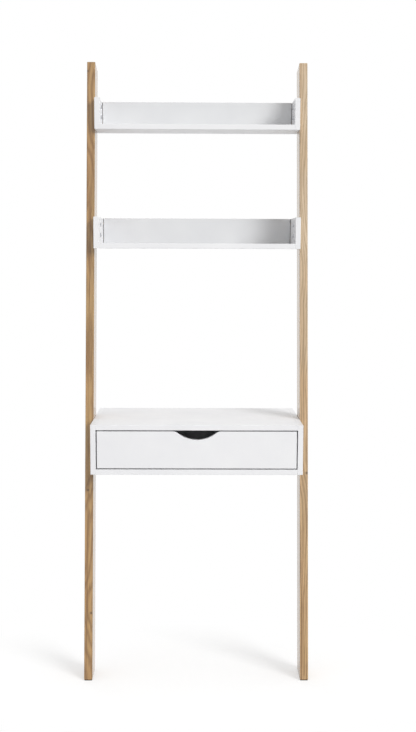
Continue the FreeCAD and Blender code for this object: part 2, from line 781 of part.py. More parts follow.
# Wall brackets: bent steel angles under the rear of the desk, with a hole each for the wall screw
def wall_bracket(label, side):
    low = f"{bracket_x(side)} - bracket_width / 2"
    piece = Piece(label, (low, "bracket_front_y", "desk_base - bracket_drop"))
    section = [
        ("bracket_front_y", "desk_base"),
        ("wall_y", "desk_base"),
        ("wall_y", "desk_base - bracket_drop"),
        ("wall_y - bracket_sheet", "desk_base - bracket_drop"),
        ("wall_y - bracket_sheet", "desk_base - bracket_sheet"),
        ("bracket_front_y", "desk_base - bracket_sheet"),
    ]
    sketch = piece.block("YZ", low, RIGHT, "bracket_width", section)
    piece.bent("bracket_bend", sketch, "X", [4])
    piece.bent("bracket_bend + bracket_sheet", sketch, "X", [1])
    piece.rounded("bracket_corner", along("Y"), lowest("Z"))
    piece.rounded("bracket_corner", along("Z"), lowest("Y"))
    wall_hole = [(bracket_x(side), "desk_base - bracket_hole_drop")]
    piece.holes("XZ", "wall_y", FRONT, "2 * bracket_sheet", "bracket_hole_diameter", wall_hole)
    screws = [(bracket_x(side), y) for y in BRACKET_SCREW_YS]
    piece.holes("XY", "desk_base", DOWN, "2 * bracket_sheet", "screw_hole", screws)


for side in SIDES:
    wall_bracket(f"{side}_wall_bracket", side)


# Fasteners, turned about the X axis from the tip of the shank
def screw(label, length):
    piece = Piece(label, ("0", "0", "0"), sub_part=False)
    piece.turned([
        ("0", "0"),
        ("screw_point", "screw_diameter / 2"),
        (length, "screw_diameter / 2"),
        (length, "screw_head_diameter / 2"),
        (f"{length} + screw_head_thickness / 2", "screw_head_diameter / 2"),
        (f"{length} + screw_head_thickness", "screw_head_diameter / 2 - screw_head_thickness / 2"),
        (f"{length} + screw_head_thickness", "0"),
    ])
    return piece


def bolt(label):
    """A connector bolt with a low, crowned head and a hexagon socket."""
    piece = Piece(label, ("0", "0", "0"), sub_part=False)
    head_end = "bolt_length + bolt_head_thickness"
    piece.turned([
        ("0", "0"),
        ("0", "bolt_diameter / 2 - bolt_head_crown"),
        ("bolt_head_crown", "bolt_diameter / 2"),
        ("bolt_length", "bolt_diameter / 2"),
        ("bolt_length", "bolt_head_diameter / 2"),
        (f"{head_end} - bolt_head_crown", "bolt_head_diameter / 2"),
        (head_end, "bolt_head_diameter / 2 - bolt_head_crown"),
        (head_end, "0"),
    ])
    corner = "bolt_socket_width / sqrt(3)"
    socket = [(f"{corner} * cos({turn})", f"{corner} * sin({turn})") for turn in range(0, 360, 60)]
    piece.slot("YZ", head_end, LEFT, "bolt_socket_depth", socket)
    return piece


def insert_nut(label):
    piece = Piece(label, ("0", "0", "0"), sub_part=False)
    bore = "bolt_diameter / 2 + fit_clearance"
    piece.turned([
        ("0", bore),
        ("0", "nut_diameter / 2"),
        ("nut_length", "nut_diameter / 2"),
        ("nut_length", bore),
    ])
    return piece


def dowel(label, diameter, length):
    """A wooden dowel with chamfered ends."""
    piece = Piece(label, ("0", "0", "0"), sub_part=False)
    piece.turned([
        ("0", "0"),
        ("0", f"{diameter} / 2 - dowel_chamfer"),
        ("dowel_chamfer", f"{diameter} / 2"),
        (f"{length} - dowel_chamfer", f"{diameter} / 2"),
        (length, f"{diameter} / 2 - dowel_chamfer"),
        (length, "0"),
    ])
    return piece


def roller_pin(label):
    """A shouldered rivet: tail in the sheet, journal in the roller, head outside it."""
    piece = Piece(label, ("0", "0", "0"), sub_part=False)
    head = "pin_seat + roller_space"
    piece.turned([
        ("0", "0"),
        ("0", "pin_tail_diameter / 2"),
        ("runner_sheet", "pin_tail_diameter / 2"),
        ("runner_sheet", "pin_shoulder_diameter / 2"),
        ("pin_seat", "pin_shoulder_diameter / 2"),
        ("pin_seat", "pin_diameter / 2"),
        (head, "pin_diameter / 2"),
        (head, "pin_shoulder_diameter / 2"),
        ("pin_reach", "pin_shoulder_diameter / 2"),
        ("pin_reach", "0"),
    ])
    return piece


def on_both_sides(ways, distance, spots):
    """Equal pieces on the left and on the right, at a distance, that point out of the desk or into it."""
    return [(ways[side], (mirrored(side, distance), *spot)) for side in SIDES for spot in spots]


copies("rail_bolts", bolt("rail_bolt"), on_both_sides(IN, "board_half + bolt_length", RAIL_BOLTS))
copies("insert_nuts", insert_nut("insert_nut"), on_both_sides(OUT, "unit_half", RAIL_BOLTS))

panel_dowel = dowel("panel_dowel", "dowel_diameter", "dowel_length")
dowel_start = "board_half - dowel_length + dowel_sunk"
for label, (base, depth) in TRAYS.items():
    shelf_spots, upstand_spots = tray_joint_spots(base, depth)
    lying = on_both_sides(OUT, dowel_start, shelf_spots + upstand_spots)
    upright_base = f"{base} + board_thickness - dowel_sunk"
    standing = [(UP, (*spot, upright_base)) for spot in UPRIGHT_SPOTS]
    copies(f"{label}_dowels", panel_dowel, lying + standing)
copies("desk_dowels", panel_dowel, on_both_sides(OUT, dowel_start, DESK_JOINTS))

front_dowel = dowel("front_dowel", "drawer_dowel_diameter", "drawer_dowel_length")
front_dowel_y = "drawer_front_back_y - dowel_sunk"
copies("drawer_dowels", front_dowel, [(BACK, (x, front_dowel_y, z)) for x, z in front_dowels])

short_screw = screw("short_screw", "screw_length")
channel_tip = "board_half - runner_sheet + screw_length"
copies("channel_screws", short_screw, on_both_sides(IN, channel_tip, CHANNEL_SCREWS))
runner_tip = "drawer_base - runner_sheet + screw_length"
runner_spots = [(side_middle(side), y) for side in SIDES for y in RUNNER_SCREW_YS]
copies("drawer_runner_screws", short_screw, [(DOWN, (*spot, runner_tip)) for spot in runner_spots])
bracket_tip = "desk_base - bracket_sheet + screw_length"
copies("wall_bracket_screws", short_screw, [(DOWN, (*spot, bracket_tip)) for spot in BRACKET_SCREWS])

long_screw = screw("long_screw", "drawer_screw_length")
long_tip = "drawer_half - drawer_screw_length"
copies("drawer_back_screws", long_screw, on_both_sides(OUT, long_tip, DRAWER_BACK_SCREWS))

pin = roller_pin("roller_pin")
copies("front_roller_pins", pin, on_both_sides(IN, "board_half", [FRONT_SPOT]))
copies("rear_roller_pins", pin, on_both_sides(OUT, "drawer_half", [REAR_SPOT]))

# Every object has to be sound, and every cut has to take material away, before anything is written
doc.recompute()
for item in doc.Objects:
    if "Invalid" in item.State or "Error" in item.State:
        raise RuntimeError(f"{item.Name} of {item.Label} failed: {item.State}")
    if item.TypeId == "PartDesign::Pocket":
        if item.Shape.Volume > item.BaseFeature.Shape.Volume - TOUCH:
            raise RuntimeError(f"{item.Name} cuts nothing")
for piece in sub_parts:
    if piece.Shape.isNull() or not piece.Shape.isValid():
        raise RuntimeError(f"{piece.Label} has no sound shape")

os.makedirs("parts", exist_ok=True)
for piece in sub_parts:
    piece.Shape.exportStep(f"parts/{piece.Label}.step")
    print(f"{piece.Label}: {len(piece.Shape.Solids)} solids, {piece.Shape.Volume / 1000:.1f} cm3")
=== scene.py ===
# %% [markdown]
# # A ladder desk in oak and white lacquer
#
# Two oak rails lean back. They carry a small tray, a deeper tray and a desk box with one scooped
# drawer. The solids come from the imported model, and they stay where the model puts them. This script
# gives each piece the finish of the real one. Only two things get a new shape: the screws, which are
# plain in the solids, and the upstands of the trays, which get a lip at each end. A camera, a floor
# and soft light complete the scene.

# %% Load the frame
import math

import bmesh
import bpy
from mathutils import Color, Matrix, Vector


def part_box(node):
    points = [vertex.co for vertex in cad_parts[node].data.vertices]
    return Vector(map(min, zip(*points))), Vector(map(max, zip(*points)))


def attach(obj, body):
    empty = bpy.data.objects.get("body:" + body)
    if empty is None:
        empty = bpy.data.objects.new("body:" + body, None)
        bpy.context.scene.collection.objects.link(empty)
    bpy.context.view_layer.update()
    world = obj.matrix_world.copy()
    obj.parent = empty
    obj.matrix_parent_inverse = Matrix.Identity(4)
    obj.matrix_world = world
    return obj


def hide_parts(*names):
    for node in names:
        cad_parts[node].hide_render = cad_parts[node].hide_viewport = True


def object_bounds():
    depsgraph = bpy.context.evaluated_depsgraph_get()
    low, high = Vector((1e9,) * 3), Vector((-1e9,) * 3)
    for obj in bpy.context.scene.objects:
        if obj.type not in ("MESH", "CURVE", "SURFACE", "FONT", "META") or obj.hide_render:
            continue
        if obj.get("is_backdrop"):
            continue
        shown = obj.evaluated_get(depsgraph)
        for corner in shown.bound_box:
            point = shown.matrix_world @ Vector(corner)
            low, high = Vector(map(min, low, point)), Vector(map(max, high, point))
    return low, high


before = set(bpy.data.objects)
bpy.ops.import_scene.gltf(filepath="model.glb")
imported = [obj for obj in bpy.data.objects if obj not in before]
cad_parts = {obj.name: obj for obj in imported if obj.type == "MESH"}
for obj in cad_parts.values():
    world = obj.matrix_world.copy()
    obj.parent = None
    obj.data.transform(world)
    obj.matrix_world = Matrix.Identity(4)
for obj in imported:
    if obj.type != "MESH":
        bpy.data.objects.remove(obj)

cad_low, cad_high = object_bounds()
print("desk size in metres:", [round(high - low, 4) for low, high in zip(cad_low, cad_high)])

# %% [markdown]
# ## Colour as it is written
#
# The Standard view shows a colour nearly as its numbers say. A filmic view would grey the white
# lacquer.

# %% View
scene = bpy.context.scene
scene.view_settings.view_transform = "Standard"
print("view:", scene.view_settings.view_transform)

# %% [markdown]
# ## The camera
#
# The photograph was taken from about the height of the lower shelf, with a long lens, almost square
# to the desk and tilted a little down. Position, tilt and lens come from fitting the corners of the
# rails, trays and desk box to the picture. A camera could also be set by eye, but then the leaning
# rails would not line up. The fit puts the axis of the lens a little below the middle of the picture,
# so the camera gets a small shift.

# %% Camera
FRAME_HEIGHT = 732
FOCAL_PIXELS = 1225.0
CENTRE_ROW = 412.99
SENSOR = 36.0
EYE = Vector((-0.01021, -3.6151, 1.23947))
PITCH = math.radians(7.599)
YAW = math.radians(-0.696)
ROLL = math.radians(0.211)

lens = bpy.data.cameras.new("desk_camera")
lens.sensor_width = SENSOR
lens.lens = FOCAL_PIXELS / FRAME_HEIGHT * SENSOR
lens.shift_y = (CENTRE_ROW - FRAME_HEIGHT / 2) / FRAME_HEIGHT
camera = bpy.data.objects.new("desk_camera", lens)
scene.collection.objects.link(camera)
upright = Matrix.Rotation(math.pi / 2 - PITCH, 4, "X")
turn = Matrix.Rotation(YAW, 4, "Z") @ upright @ Matrix.Rotation(ROLL, 4, "Z")
camera.matrix_world = Matrix.Translation(EYE) @ turn
scene.camera = camera
print("lens in mm:", round(lens.lens, 2), "shift:", round(lens.shift_y, 4))

# %% [markdown]
# ## Helpers for finishes
#
# Every finish here is a small tree of nodes. It could be drawn by hand in the node editor, but the
# same few steps come back in each. These helpers add a node, link its inputs and spread a pattern
# along one direction, so that each finish below reads like a recipe. Patterns use Object coordinates:
# the pieces sit at the origin, so a pattern is in metres and doesn't slide when the drawer moves.

# %% Nodes and colours
WHITE = (1.0, 1.0, 1.0, 1.0)
BLACK = (0.0, 0.0, 0.0, 1.0)


def grey(value):
    """A linear grey."""
    return (value, value, value, 1.0)


def linear(red, green, blue):
    """A colour in 0 to 255 steps, as the linear values that a shader takes."""
    steps = Color((red / 255, green / 255, blue / 255))
    return [*steps.from_srgb_to_scene_linear(), 1.0]


def add(tree, kind, inputs, **settings):
    """One node with its settings, its inputs linked or filled."""
    node = tree.nodes.new("ShaderNode" + kind)
    for name, value in settings.items():
        setattr(node, name, value)
    for socket, value in inputs.items():
        if isinstance(value, bpy.types.NodeSocket):
            tree.links.new(value, node.inputs[socket])
        else:
            node.inputs[socket].default_value = value
    return node


def new_finish(name):
    """A new material with its node tree, its shader and the place of each point on the piece."""
    material = bpy.data.materials.new(name)
    material.use_nodes = True
    tree = material.node_tree
    place = add(tree, "TexCoord", {}).outputs["Object"]
    return material, tree, tree.nodes["Principled BSDF"], place


print("grey of a mid sRGB step:", round(linear(128, 128, 128)[0], 3))


# %% Patterns
NOISE_LOW, NOISE_HIGH = 0.3, 0.7  # nearly all of a noise lies between these


def stretched_noise(tree, place, scale, detail=2.0, roughness=0.5, output="Fac"):
    """Noise with its own scale along each axis, in steps per metre."""
    stretched = add(tree, "Mapping", {"Vector": place, "Scale": scale}).outputs["Vector"]
    return add(tree, "TexNoise", {"Vector": stretched, "Scale": 1.0, "Detail": detail,
                                  "Roughness": roughness}).outputs[output]


def even_noise(tree, place, scale, detail=2.0, roughness=0.5):
    """Noise with one scale along all axes, in steps per metre."""
    return stretched_noise(tree, place, (scale, scale, scale), detail, roughness)


def arithmetic(tree, how, *values):
    """One step of arithmetic on numbers or sockets."""
    return add(tree, "Math", dict(enumerate(values)), operation=how).outputs[0]


def between(tree, factor, low, high, start=0.0, end=1.0):
    """A factor read from start to end, spread from low to high."""
    return add(tree, "MapRange", {"Value": factor, "From Min": start, "From Max": end,
                                  "To Min": low, "To Max": high}).outputs["Result"]


def ramp(tree, factor, *stops):
    """Colours or greys along a factor, as (position, colour) stops."""
    node = add(tree, "ValToRGB", {"Fac": factor})
    elements = node.color_ramp.elements
    elements[0].position, elements[0].color = stops[0]
    elements[1].position, elements[1].color = stops[-1]
    for position, colour in stops[1:-1]:
        elements.new(position).color = colour
    return node.outputs["Color"]


def tones(tree, noise, dim, bright):
    """A noise as a colour between two tones."""
    return ramp(tree, noise, (NOISE_LOW, dim), (NOISE_HIGH, bright))


def blend(tree, factor, first, second, how="MIX"):
    """Two colours mixed, or multiplied, by a factor. A Mix node has its colours at sockets 6 and 7."""
    return add(tree, "Mix", {0: factor, 6: first, 7: second}, data_type="RGBA", blend_type=how).outputs[2]


def add_bump(tree, shader, height, distance, strength):
    """Surface relief from a height pattern, with its distance in metres."""
    relief = add(tree, "Bump", {"Height": height, "Distance": distance, "Strength": strength})
    tree.links.new(relief.outputs["Normal"], shader.inputs["Normal"])


print("noise is read from", NOISE_LOW, "to", NOISE_HIGH)


# %% Pieces of the frame
def corners(node):
    """The lowest corner, the middle and the highest corner of a node of the frame."""
    low, high = map(Vector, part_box(node))
    return low, (low + high) / 2, high


def dress(material, *names):
    """Gives a finish to the named pieces of the frame."""
    for name in names:
        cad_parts[name].data.materials.clear()
        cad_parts[name].data.materials.append(material)
    print(material.name, "on", ", ".join(names))


print("pieces in the frame:", len(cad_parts))

# %% [markdown]
# ## Oak: the rings of a log
#
# The rails are straight boards of oak. Oak is ring-porous: each year begins with a brown band of open
# pores and ends in dense pale wood. Stripes drawn on each face would be simple, but they would not
# meet at the edges. So the finish copies the wood in space, as a log does: rings around a pith beside
# the board. The board cuts through the rings, so the faces, edges and end grain agree with each
# other. A tree never grows quite straight, so slow noise sways the log and the lines on the fronts
# wander.

# %% Log rings
LEAN = math.radians(9.45)
RING = 0.0034
WAVE_STEP = 2 * math.pi / 20  # a wave texture of scale 1 repeats after this length
SWAY = (6, 6, 2.0)
LOG_STRETCH = 0.05  # draws out the waver of the rings along the log


def log_rings(tree, along_rail, bend, pith):
    """The years that a board cuts through, from 0 to 1 in each, around a pith that sways by a bend."""
    sway = stretched_noise(tree, along_rail, SWAY, output="Color")
    swayed = add(tree, "VectorMath", {0: sway, 1: (bend, bend, 0), 2: along_rail},
                 operation="MULTIPLY_ADD").outputs["Vector"]
    to_pith = (-pith[0] - bend / 2, -pith[1] - bend / 2, 0)
    log = add(tree, "Mapping", {"Vector": swayed, "Location": to_pith,
                                "Scale": (1, 1, LOG_STRETCH)}).outputs["Vector"]
    return add(tree, "TexWave", {"Vector": log, "Scale": WAVE_STEP / RING, "Distortion": 5.0, "Detail": 4.0,
                                 "Detail Scale": 1.2, "Detail Roughness": 0.6},
               wave_type="RINGS", rings_direction="Z", wave_profile="SAW").outputs["Fac"]


print("year rings in mm:", round(RING * 1000, 2))

# %% [markdown]
# ## Oak: colour, knots and coat
#
# Over the rings lie fine fibres and pores, drawn out along the rail. Two logs differ, so each rail
# has its own tone, its own reddish patches and its knots. A clear coat is a second gloss layer over
# the wood: seen along the board it mirrors the white studio, so the inner faces look paler than the
# fronts. The sawn ends drink up their coat, so the gloss stops where a face looks along the rail. A
# picture of a board would be quicker than all this, but it would stretch on the end grain and repeat
# from rail to rail.

# %% Oak wood
STRIPES = (150, 90, 1.4)
PATCHES = (25, 25, 3.2)
FOOT_TONE, HEAD_TONE = 0.2, 1.2  # places along a rail between which its tone changes
YEAR = ((0.0, grey(0.7)), (0.40, grey(0.08)), (0.65, BLACK), (1.0, grey(0.7)))  # how brown a year is


def oak_wood(tree, along_rail, rings, foot, head, red):
    """Late wood with red patches, early wood and stripes, and the brown of that early wood by itself."""
    height = add(tree, "SeparateXYZ", {"Vector": along_rail}).outputs["Z"]
    up = between(tree, height, 0.0, 1.0, FOOT_TONE, HEAD_TONE)
    pale = blend(tree, up, foot[0], head[0])
    brown = blend(tree, up, foot[1], head[1])
    patches = stretched_noise(tree, along_rail, PATCHES, 3.0)
    late_wood = blend(tree, between(tree, patches, 0.0, 0.7, start=0.42, end=0.66), pale, red)
    year = blend(tree, ramp(tree, rings, *YEAR), late_wood, brown)
    stripes = stretched_noise(tree, along_rail, STRIPES)
    return blend(tree, between(tree, stripes, 0.0, 0.75, start=0.50, end=0.68), year, brown), brown


print("tone changes between", FOOT_TONE, "and", HEAD_TONE, "metres along a rail")


# %% Oak knots and coat
RAIL_AXIS = (0, math.sin(LEAN), math.cos(LEAN))
RAIL_FACE = -0.1926  # the front of the rails, across their lean
KNOT_BROWN = linear(74, 48, 24)
KNOT_SHARE = 0.8
KNOT_CORE, KNOT_RIM = 0.0015, 0.0055


def with_knots(tree, along_rail, colour, knots):
    """A colour with small knots at (sideways, height) places on the front of a rail."""
    for sideways, height in knots:
        distance = add(tree, "VectorMath", {0: along_rail, 1: (sideways, RAIL_FACE, height)},
                       operation="DISTANCE").outputs["Value"]
        share = between(tree, distance, KNOT_SHARE, 0.0, KNOT_CORE, KNOT_RIM)
        colour = blend(tree, share, colour, KNOT_BROWN)
    return colour


def coat_off_the_ends(tree, coat):
    """The weight of a coat that stops where a face looks along the rail."""
    facing = add(tree, "TexCoord", {}).outputs["Normal"]
    lengthways = add(tree, "VectorMath", {0: facing, 1: RAIL_AXIS}, operation="DOT_PRODUCT").outputs["Value"]
    end_grain = arithmetic(tree, "MULTIPLY", lengthways, lengthways)
    return between(tree, end_grain, coat, 0.0, start=0.3, end=0.6)


print("knots reach in mm:", round(KNOT_RIM * 1000, 1))


# %% Oak
FIBRES = (900, 900, 14)
FIBRE_DIM, FIBRE_BRIGHT = grey(0.80), grey(1.12)
PORES = (1500, 1500, 40)
PORE_EDGE = ((0.60, BLACK), (0.68, WHITE))
PORE_SHADE = grey(0.42)
EARLY_WOOD = ((0.0, WHITE), (0.45, grey(0.12)))  # the part of a year that has open pores
FIBRE_RELIEF = 0.0002
COAT_ROUGHNESS = 0.16


def oak(name, foot, head, red, coat, bend, pith, knots):
    """Oak along a leaning rail, with the (late, early) wood of its foot and head, and a pith beside it."""
    material, tree, shader, place = new_finish(name)
    along_rail = add(tree, "Mapping", {"Vector": place, "Rotation": (LEAN, 0, 0)}).outputs["Vector"]
    rings = log_rings(tree, along_rail, bend, pith)
    wood, brown = oak_wood(tree, along_rail, rings, foot, head, red)
    fibres = stretched_noise(tree, along_rail, FIBRES, 4.0, 0.65)
    fine = blend(tree, 1.0, wood, tones(tree, fibres, FIBRE_DIM, FIBRE_BRIGHT), "MULTIPLY")
    pores = ramp(tree, stretched_noise(tree, along_rail, PORES), *PORE_EDGE)
    open_pores = blend(tree, 1.0, pores, ramp(tree, rings, *EARLY_WOOD), "MULTIPLY")
    in_pores = blend(tree, 1.0, brown, PORE_SHADE, "MULTIPLY")
    colour = blend(tree, open_pores, fine, in_pores)
    tree.links.new(with_knots(tree, along_rail, colour, knots), shader.inputs["Base Color"])
    tree.links.new(coat_off_the_ends(tree, coat), shader.inputs["Coat Weight"])
    tree.links.new(between(tree, open_pores, 0.42, 0.62), shader.inputs["Roughness"])
    shader.inputs["Coat Roughness"].default_value = COAT_ROUGHNESS
    add_bump(tree, shader, blend(tree, open_pores, fibres, BLACK), FIBRE_RELIEF, 0.25)
    return material


left_oak = oak("left_oak", foot=(linear(180, 142, 90), linear(120, 85, 46)),
               head=(linear(178, 145, 97), linear(120, 85, 46)), red=linear(172, 128, 82),
               coat=0.9, bend=0.045, pith=(-0.352, 0.061),
               knots=[(-0.3236, 1.7515), (-0.3162, 0.5195), (-0.3052, 0.163)])
right_oak = oak("right_oak", foot=(linear(198, 163, 114), linear(112, 76, 36)),
                head=(linear(210, 188, 159), linear(164, 140, 108)), red=linear(200, 164, 122),
                coat=0.72, bend=0.026, pith=(0.383, -0.058), knots=[(0.3214, 0.5699)])
dress(left_oak, "left_rail")
dress(right_oak, "right_rail")

# %% [markdown]
# ## Painted shade in the joints
#
# The thin gap at each end of an upstand is a dark line of shade on the real desk. The faces inside
# the gap get painted shade: a dark brown in the lacquer there. A second finish on the faces beside the
# gap would do, but the meshes of the solids stay as they are. So the lacquer finds the gap by its place
# on the tray, between the upstand and the end board.

# %% Painted gap shade
# painted shade: the dark brown of the faces inside the gaps beside an upstand
GAP_SHADE_BROWN = linear(96, 74, 52)
LIP_DEPTH = 0.003  # of the lip that closes the gap from behind
HAIR = 0.00005  # a margin beside an exact place

upstand_low, _, upstand_high = corners("top_shelf_back")
end_board_x = corners("top_shelf_right_end")[0].x
lip_front_y = upstand_high.y - LIP_DEPTH


def within(tree, value, low, high):
    """1 where a value lies between two limits, 0 elsewhere."""
    return arithmetic(tree, "COMPARE", value, (low + high) / 2, (high - low) / 2)


def upstand_gap(tree, place):
    """1 on the faces on both sides of the gaps at the ends of an upstand, 0 elsewhere on a tray."""
    spot = add(tree, "SeparateXYZ", {"Vector": place}).outputs
    sideways = arithmetic(tree, "ABSOLUTE", spot["X"])
    beside = within(tree, sideways, upstand_high.x - HAIR, end_board_x + HAIR)
    inside = within(tree, spot["Y"], upstand_low.y + HAIR, lip_front_y + HAIR)
    return arithmetic(tree, "MULTIPLY", beside, inside)


print("gap beside an upstand in mm:", round(1000 * (end_board_x - upstand_high.x), 2))

# %% [markdown]
# ## White lacquer
#
# The trays, the desk box and the drawer front are boards under a sprayed white satin lacquer. A plain
# white shader would do from afar, but a sprayed film is never quite flat: it dries with a faint skin
# like orange peel, and its gloss drifts a little over a board. That drift and relief are what make a
# white panel look like paint and not like paper, so they are small and at their real scale. The two
# upstands are the same white, but they stand further back and get less light. So their lacquer is a
# slightly darker white, which is painted shade.

# %% White lacquer
TONE_DRIFT, GLOSS_DRIFT, PEEL = 7, 45, 420  # steps per metre
PEEL_RELIEF = 0.00008
BOARD_WHITE = (linear(235, 235, 237), linear(241, 241, 242))
# painted shade: the upstands' white is darker than the boards' to stand in for the lesser light on them
UPSTAND_SHADED_WHITE = (linear(215, 216, 218), linear(222, 223, 224))


def sprayed_lacquer(name, dim, bright, gap_shade=False):
    """Satin lacquer between two tones, with painted shade in the gaps beside an upstand where asked."""
    material, tree, shader, place = new_finish(name)
    film = tones(tree, even_noise(tree, place, TONE_DRIFT, 3.0), dim, bright)
    if gap_shade:
        # painted shade on the faces inside the gaps beside an upstand
        film = blend(tree, upstand_gap(tree, place), film, GAP_SHADE_BROWN)
    tree.links.new(film, shader.inputs["Base Color"])
    drift = even_noise(tree, place, GLOSS_DRIFT)
    tree.links.new(between(tree, drift, 0.34, 0.46, NOISE_LOW, NOISE_HIGH), shader.inputs["Roughness"])
    add_bump(tree, shader, even_noise(tree, place, PEEL, roughness=0.4), PEEL_RELIEF, 0.30)
    return material


white_lacquer = sprayed_lacquer("satin_lacquer", *BOARD_WHITE)
# the tray ends get painted shade on their faces inside the gaps beside the upstands
tray_end_gap_shade_lacquer = sprayed_lacquer("tray_end_gap_shade_lacquer", *BOARD_WHITE, gap_shade=True)
# the upstands get painted shade: a darker white, and the dark brown in their gaps
upstand_shade_lacquer = sprayed_lacquer("upstand_shade_lacquer", *UPSTAND_SHADED_WHITE, gap_shade=True)
dress(white_lacquer, "top_shelf_board", "lower_shelf_board", "desk_left_side", "desk_right_side", "desk_top",
      "desk_bottom", "desk_back", "drawer_front")
dress(tray_end_gap_shade_lacquer, "top_shelf_left_end", "top_shelf_right_end", "lower_shelf_left_end",
      "lower_shelf_right_end")
dress(upstand_shade_lacquer, "top_shelf_back", "lower_shelf_back")

# %% [markdown]
# ## Upstands with a rear lip
#
# The dark line at each end of an upstand would turn pale if light shone through the gap. So
# the gap has to be closed from behind. A strip of filler could do that, but it would be one more
# piece to hold. Here each upstand keeps the shape of its solid, is cut along a plane near its rear
# face, and the strip behind the cut grows at both ends into a thin lip that almost meets the end
# boards.

# %% Helpers for shapes
WELD = 1e-6


def points_of(parts):
    """The vertices among the parts that an operator made."""
    return [part for part in parts if isinstance(part, bmesh.types.BMVert)]


def settle_faces(shape):
    """Cuts faces of many sides into triangles and turns all faces outwards."""
    bmesh.ops.triangulate(shape, faces=[face for face in shape.faces if len(face.verts) > 4])
    bmesh.ops.recalc_face_normals(shape, faces=shape.faces[:])


print("points closer than", WELD, "metres become one")


# %% Upstands
LIP_REACH = end_board_x - upstand_high.x - HAIR
FLAT = math.radians(0.5)  # faces that turn by less become one
SIDES = (-1, 1)  # left and right


def grow_lip(shape, side):
    """Draws out the end of an upstand behind the cut, on one side, and leaves no face inside."""
    end = [face for face in shape.faces
           if min(side * point.co.x for point in face.verts) > upstand_high.x - HAIR
           and min(point.co.y for point in face.verts) > lip_front_y - HAIR]
    tips = points_of(bmesh.ops.extrude_face_region(shape, geom=end)["geom"])
    bmesh.ops.translate(shape, vec=(side * LIP_REACH, 0, 0), verts=tips)
    bmesh.ops.delete(shape, geom=end, context="FACES")


def lipped_upstand(node):
    """The upstand of a tray with a lip along the rear of each end, in place of its node."""
    shape = bmesh.new()
    shape.from_mesh(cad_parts[node].data)
    bmesh.ops.remove_doubles(shape, verts=shape.verts[:], dist=WELD)
    bmesh.ops.dissolve_limit(shape, angle_limit=FLAT, verts=shape.verts[:], edges=shape.edges[:])
    bmesh.ops.bisect_plane(shape, geom=shape.verts[:] + shape.edges[:] + shape.faces[:], dist=WELD,
                           plane_co=(0, lip_front_y, 0), plane_no=(0, 1, 0))
    for side in SIDES:
        grow_lip(shape, side)
    settle_faces(shape)
    for face in shape.faces:
        face.smooth = False
    mesh = bpy.data.meshes.new(node + "_lipped")
    shape.to_mesh(mesh)
    shape.free()
    mesh.materials.clear()
    # the upstand's lacquer, with painted shade
    mesh.materials.append(upstand_shade_lacquer)
    piece = bpy.data.objects.new(node + "_lipped", mesh)
    scene.collection.objects.link(piece)
    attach(piece, "frame")
    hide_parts(node)
    print(piece.name, len(mesh.polygons), "faces")


lipped_upstand("top_shelf_back")
lipped_upstand("lower_shelf_back")

# %% [markdown]
# ## The drawer box
#
# Behind its white front the drawer is a plain box of white foil-covered board. The foil has a fine
# pressed grain along the boards. It could share the lacquer of the front, but foil is duller and
# cooler. Little light gets in through the scoop, so the box still shows as a dark opening.

# %% Drawer box
FOIL_GRAIN = (60, 60, 900)
FOIL_RELIEF = 0.0001


def pressed_foil(name, dim, bright):
    """White foil with a fine grain that lies level along the boards."""
    material, tree, shader, place = new_finish(name)
    grain = stretched_noise(tree, place, FOIL_GRAIN, 4.0, 0.6)
    tree.links.new(tones(tree, grain, dim, bright), shader.inputs["Base Color"])
    tree.links.new(between(tree, grain, 0.5, 0.65, NOISE_LOW, NOISE_HIGH), shader.inputs["Roughness"])
    add_bump(tree, shader, grain, FOIL_RELIEF, 0.3)
    return material


drawer_board = pressed_foil("foiled_board", linear(226, 226, 230), linear(234, 234, 238))
dress(drawer_board, "drawer_left_side", "drawer_right_side", "drawer_back", "drawer_floor")

# %% [markdown]
# ## Metal, nylon, dowels and pads
#
# The small parts are coated sheet steel, zinc plating with its soft grey bloom, moulded nylon, beech
# dowels and rubber pads with a fine grain. Each could have a tree of its own. At their size one fine
# speckle is enough: it carries the tone, the gloss and the relief, and only its scale and numbers
# differ.

# %% Small parts
def speckled_finish(name, dim, bright, roughness, speckle, relief, metallic=0.0):
    """A finish whose speckle, in steps per metre, carries its tone, (low, high) roughness and relief."""
    material, tree, shader, place = new_finish(name)
    bloom = even_noise(tree, place, speckle, 4.0, 0.6)
    tree.links.new(tones(tree, bloom, dim, bright), shader.inputs["Base Color"])
    tree.links.new(between(tree, bloom, *roughness, NOISE_LOW, NOISE_HIGH), shader.inputs["Roughness"])
    shader.inputs["Metallic"].default_value = metallic
    add_bump(tree, shader, bloom, relief, 0.3)
    return material


epoxy_coat = speckled_finish("epoxy_coat", linear(218, 218, 218), linear(228, 228, 228),
                             roughness=(0.35, 0.5), speckle=1800, relief=0.00005)
zinc_plate = speckled_finish("zinc_plate", linear(176, 178, 182), linear(208, 209, 212),
                             roughness=(0.28, 0.45), speckle=350, relief=0.00003, metallic=1.0)
nylon = speckled_finish("moulded_nylon", linear(226, 226, 221), linear(236, 236, 232),
                        roughness=(0.4, 0.5), speckle=600, relief=0.00004)
beech = speckled_finish("beech_dowel", linear(196, 160, 116), linear(216, 182, 138),
                        roughness=(0.6, 0.75), speckle=500, relief=0.0001)
foot_pad = speckled_finish("foot_rubber", linear(36, 34, 33), linear(58, 55, 52),
                           roughness=(0.85, 0.95), speckle=1400, relief=0.0003)
dress(epoxy_coat, "left_channel", "right_channel", "left_drawer_runner", "right_drawer_runner")
dress(zinc_plate, "left_wall_bracket", "right_wall_bracket", "rail_bolts", "insert_nuts", "channel_screws",
      "drawer_runner_screws", "wall_bracket_screws", "drawer_back_screws", "front_roller_pins",
      "rear_roller_pins")
dress(nylon, "left_front_roller", "right_front_roller", "left_rear_roller", "right_rear_roller")
dress(beech, "top_shelf_dowels", "lower_shelf_dowels", "desk_dowels", "drawer_dowels")
